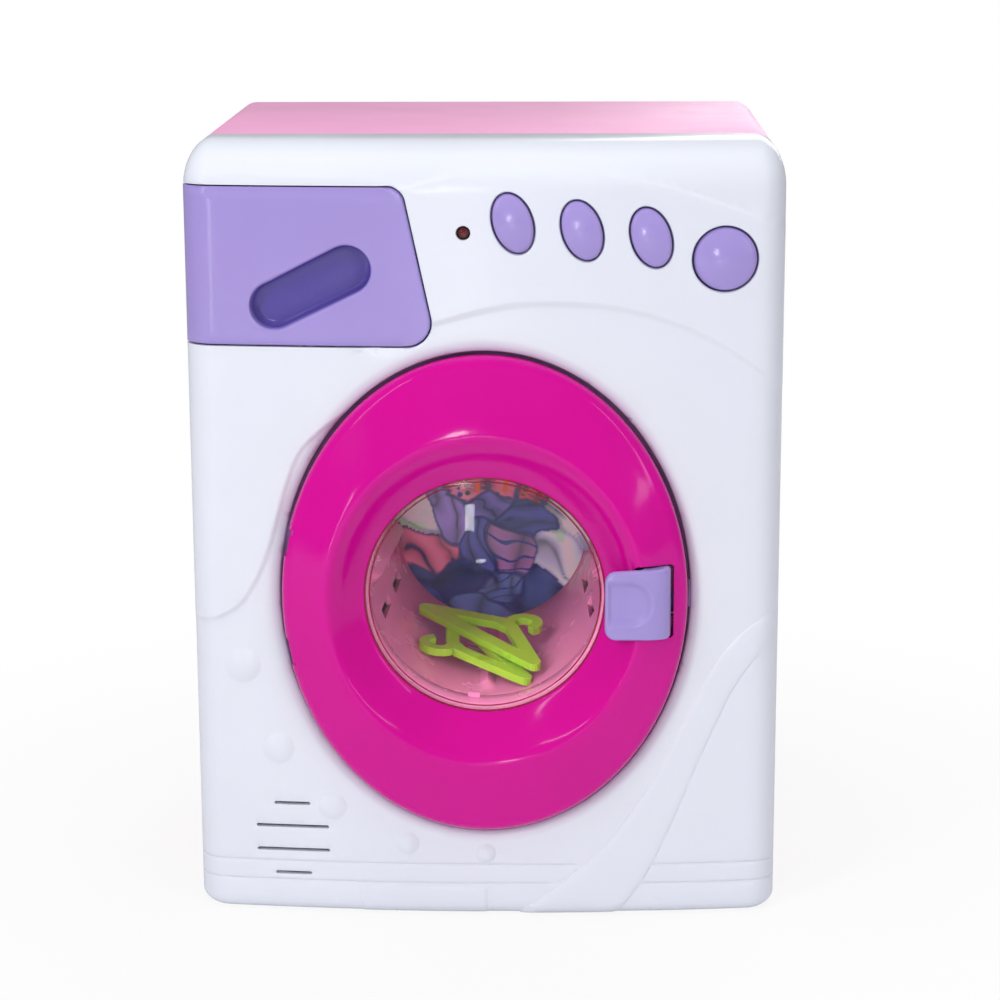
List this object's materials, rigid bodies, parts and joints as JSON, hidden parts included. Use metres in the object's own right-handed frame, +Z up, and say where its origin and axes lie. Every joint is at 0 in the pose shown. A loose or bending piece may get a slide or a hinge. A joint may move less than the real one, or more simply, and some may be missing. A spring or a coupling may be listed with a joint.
{
  "type": "toy washing machine",
  "caption": "Toy front-loading washing machine with a swing door, soap drawer, push buttons, vented front, turning drum and battery drive.",
  "frame": {"origin": "middle of the footprint, on the surface that it stands on", "axes": "+Z up, -Y out of the front with the door, +X to the right seen from the front"},
  "size_m": [0.19, 0.163, 0.254],
  "materials": {
    "white_shell": "smooth gloss, fine moulded texture inside",
    "pink_shell": "smooth gloss",
    "magenta": "polished",
    "lilac": "polished",
    "lilac_tray": "satin",
    "drum_pink": "semi-gloss",
    "picture": "gloss printed card",
    "window": "clear moulded",
    "lime": "satin, slightly translucent",
    "inner_plastic": "satin",
    "gear_plastic": "satin",
    "steel": "bright",
    "screw_steel": "zinc plated",
    "brass": "turned",
    "motor_metal": "plated sheet",
    "cell_metal": "shrink sleeve",
    "board": "laminate",
    "black_parts": "matt",
    "rubber_grey": "matt silicone",
    "led_red": "tinted",
    "magnet": "ferrite",
    "paper_black": "pressed cone",
    "lead_red": "sleeved wire",
    "lead_blue": "sleeved wire",
    "lead_black": "sleeved wire"
  },
  "bodies": {
    "case": {"front_shell": "white_shell", "rear_shell": "pink_shell", "shell_screws": "screw_steel", "mouth_ring": "drum_pink", "hinge_pins": "steel", "drawer_housing": "inner_plastic", "housing_screws": "screw_steel", "rubber_dome_1": "rubber_grey", "rubber_dome_2": "rubber_grey", "rubber_dome_3": "rubber_grey", "rubber_dome_4": "rubber_grey", "control_board": "board", "board_parts": "black_parts", "board_screws": "screw_steel", "status_led": "led_red", "speaker_basket": "black_parts", "speaker_cone": "paper_black", "speaker_magnet": "magnet", "speaker_clamp": "inner_plastic", "clamp_screws": "screw_steel", "drive_plate_front": "inner_plastic", "drive_plate_rear": "inner_plastic", "drive_screws": "screw_steel", "drum_bushes": "brass", "idler_pin": "steel", "motor_can": "motor_metal", "motor_endcap": "inner_plastic", "battery_tray": "inner_plastic", "battery_cells": "cell_metal", "battery_contacts": "steel", "battery_leads": "lead_red", "motor_leads": "lead_blue", "speaker_leads": "lead_black"},
    "door": {"door_ring": "magenta", "door_frame": "magenta", "door_back": "magenta", "door_window": "window", "door_screws": "screw_steel", "latch_pin": "steel", "latch_spring": "steel"},
    "latch": {"latch_lever": "lilac"},
    "drawer": {"drawer_front": "lilac", "drawer_tray": "lilac_tray", "drawer_screws": "screw_steel"},
    "button_one": {"button_1": "lilac"},
    "button_two": {"button_2": "lilac"},
    "button_three": {"button_3": "lilac"},
    "button_four": {"button_4": "lilac"},
    "drum": {"drum": "drum_pink", "picture_disc": "picture", "drum_shaft": "steel", "drum_gear": "gear_plastic", "drum_screw": "screw_steel", "hanger_1": "lime", "hanger_2": "lime"},
    "idler": {"idler_gear": "gear_plastic"},
    "rotor": {"motor_shaft": "steel", "motor_pinion": "brass"},
    "battery_cover": {"battery_cover": "pink_shell", "cover_screw": "screw_steel"}
  },
  "joints": [
    {"name": "door_hinge", "type": "hinge", "parent": "case", "child": "door", "pos_m": [-0.058, -0.0705, 0.109], "axis": [0, 0, -1], "range_deg": [0, 95]},
    {"name": "latch_pivot", "type": "hinge", "parent": "door", "child": "latch", "pos_m": [0.056, -0.0733, 0.109], "axis": [0, 0, 1], "range_deg": [0, 15], "stiffness_Nm_per_rad": 0.02, "springref_deg": -17.19, "deforming": ["latch_spring"]},
    {"name": "drawer_slide", "type": "slide", "parent": "case", "child": "drawer", "axis": [0, -1, 0], "range_m": [0, 0.06]},
    {"name": "button_1_press", "type": "slide", "parent": "case", "child": "button_one", "axis": [0, 1, 0], "range_m": [0, 0.0015], "stiffness_N_per_m": 300, "springref_m": -0.0005, "deforming": ["rubber_dome_1"]},
    {"name": "button_2_press", "type": "slide", "parent": "case", "child": "button_two", "axis": [0, 1, 0], "range_m": [0, 0.0015], "stiffness_N_per_m": 300, "springref_m": -0.0005, "deforming": ["rubber_dome_2"]},
    {"name": "button_3_press", "type": "slide", "parent": "case", "child": "button_three", "axis": [0, 1, 0], "range_m": [0, 0.0015], "stiffness_N_per_m": 300, "springref_m": -0.0005, "deforming": ["rubber_dome_3"]},
    {"name": "button_4_press", "type": "slide", "parent": "case", "child": "button_four", "axis": [0, 1, 0], "range_m": [0, 0.0015], "stiffness_N_per_m": 300, "springref_m": -0.0005, "deforming": ["rubber_dome_4"]},
    {"name": "drum_spin", "type": "hinge", "parent": "case", "child": "drum", "pos_m": [0, -0.0105, 0.109], "axis": [0, 1, 0], "continuous": true},
    {"name": "idler_spin", "type": "hinge", "parent": "case", "child": "idler", "pos_m": [0.0144, 0.0395, 0.08406], "axis": [0, 1, 0], "continuous": true},
    {"name": "motor_spin", "type": "hinge", "parent": "case", "child": "rotor", "pos_m": [0.03319, 0.0425, 0.07722], "axis": [0, 1, 0], "continuous": true},
    {"name": "battery_cover_off", "type": "slide", "parent": "case", "child": "battery_cover", "axis": [0, 1, 0], "range_m": [0, 0.04]}
  ],
  "couplings": [
    {"joint": "idler_spin", "follows": "drum_spin", "ratio": -5},
    {"joint": "motor_spin", "follows": "drum_spin", "ratio": 20}
  ]
}
